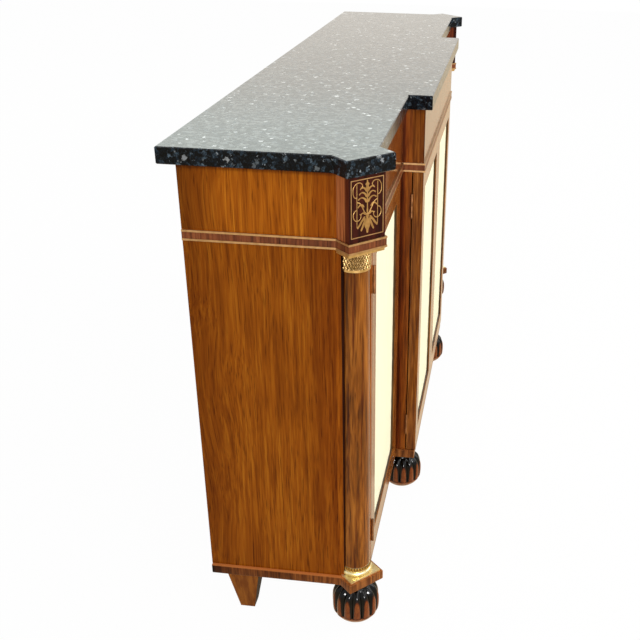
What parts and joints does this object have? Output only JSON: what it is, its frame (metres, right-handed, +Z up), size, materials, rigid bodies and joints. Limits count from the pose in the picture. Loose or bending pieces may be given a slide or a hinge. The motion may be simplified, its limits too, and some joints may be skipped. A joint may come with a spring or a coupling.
{
  "type": "chiffonier",
  "caption": "Low breakfront side cabinet with a polished stone top, fabric-panelled hinged doors, canted corner columns with brass mounts, inlaid frieze blocks and gadrooned bun feet.",
  "frame": {"origin": "on the floor, under the middle of the overall box", "axes": "+X along the length towards the right end seen from the front, +Y towards the back, +Z up"},
  "size_m": [1.6904, 0.383, 0.92],
  "materials": {
    "granite": "polished",
    "rosewood": "polished veneer",
    "ebonised_wood": "ebonised and rubbed",
    "carcase_wood": "plain sawn",
    "brass": "aged",
    "fabric": "plain weave"
  },
  "bodies": {
    "carcase": {"back_panels": "carcase_wood", "base_board": "carcase_wood", "brass_strings": "brass", "capital_left": "brass", "capital_right": "brass", "column_base_left": "brass", "column_base_right": "brass", "column_left": "rosewood", "column_right": "rosewood", "corner_post_left": "rosewood", "corner_post_right": "rosewood", "end_panel_left": "rosewood", "end_panel_right": "rosewood", "feet_rear": "carcase_wood", "foot_centre_left": "ebonised_wood", "foot_centre_right": "ebonised_wood", "foot_front_left": "ebonised_wood", "foot_front_right": "ebonised_wood", "frieze_band": "rosewood", "frieze_block_left": "rosewood", "frieze_block_right": "rosewood", "frieze_centre": "rosewood", "frieze_left": "rosewood", "frieze_right": "rosewood", "hinge_leaves_fixed": "brass", "inlay_borders": "brass", "partition_left": "rosewood", "partition_right": "rosewood", "plinth_centre": "rosewood", "plinth_left": "rosewood", "plinth_right": "rosewood", "shelf_battens": "carcase_wood", "shelf_centre": "carcase_wood", "shelf_left": "carcase_wood", "shelf_right": "carcase_wood", "stone_top": "granite", "top_board": "carcase_wood", "wing_stiles": "rosewood"},
    "left_wing_door": {"left_wing_door_bead": "brass", "left_wing_door_fabric": "fabric", "left_wing_door_fittings": "brass", "left_wing_door_frame": "rosewood"},
    "left_centre_door": {"left_centre_door_bead": "brass", "left_centre_door_fabric": "fabric", "left_centre_door_fittings": "brass", "left_centre_door_frame": "rosewood"},
    "right_wing_door": {"right_wing_door_bead": "brass", "right_wing_door_fabric": "fabric", "right_wing_door_fittings": "brass", "right_wing_door_frame": "rosewood"},
    "right_centre_door": {"right_centre_door_bead": "brass", "right_centre_door_fabric": "fabric", "right_centre_door_fittings": "brass", "right_centre_door_frame": "rosewood"},
    "bottom_bolt": {"bottom_bolt": "brass"},
    "left_wing_lock_bolt": {"left_wing_lock_bolt": "brass"},
    "right_centre_lock_bolt": {"right_centre_lock_bolt": "brass"},
    "right_wing_lock_bolt": {"right_wing_lock_bolt": "brass"},
    "top_bolt": {"top_bolt": "brass"}
  },
  "joints": [
    {"name": "left_wing_door_swing", "type": "hinge", "parent": "carcase", "child": "left_wing_door", "pos_m": [-0.7498, -0.1372, 0.44], "axis": [0, 0, -1], "range_deg": [0, 110]},
    {"name": "left_centre_door_swing", "type": "hinge", "parent": "carcase", "child": "left_centre_door", "pos_m": [-0.3582, -0.1553, 0.44], "axis": [0, 0, -1], "range_deg": [0, 110]},
    {"name": "right_wing_door_swing", "type": "hinge", "parent": "carcase", "child": "right_wing_door", "pos_m": [0.7498, -0.1372, 0.44], "axis": [0, 0, 1], "range_deg": [0, 110]},
    {"name": "right_centre_door_swing", "type": "hinge", "parent": "carcase", "child": "right_centre_door", "pos_m": [0.3582, -0.1553, 0.44], "axis": [0, 0, 1], "range_deg": [0, 110]},
    {"name": "top_bolt_throw", "type": "slide", "parent": "left_centre_door", "child": "top_bolt", "axis": [0, 0, 1], "range_m": [0, 0.014]},
    {"name": "bottom_bolt_throw", "type": "slide", "parent": "left_centre_door", "child": "bottom_bolt", "axis": [0, 0, -1], "range_m": [0, 0.014]},
    {"name": "left_wing_lock_throw", "type": "slide", "parent": "left_wing_door", "child": "left_wing_lock_bolt", "axis": [1, 0, 0], "range_m": [0, 0.009]},
    {"name": "right_wing_lock_throw", "type": "slide", "parent": "right_wing_door", "child": "right_wing_lock_bolt", "axis": [-1, 0, 0], "range_m": [0, 0.009]},
    {"name": "right_centre_lock_throw", "type": "slide", "parent": "right_centre_door", "child": "right_centre_lock_bolt", "axis": [-1, 0, 0], "range_m": [0, 0.009]}
  ]
}
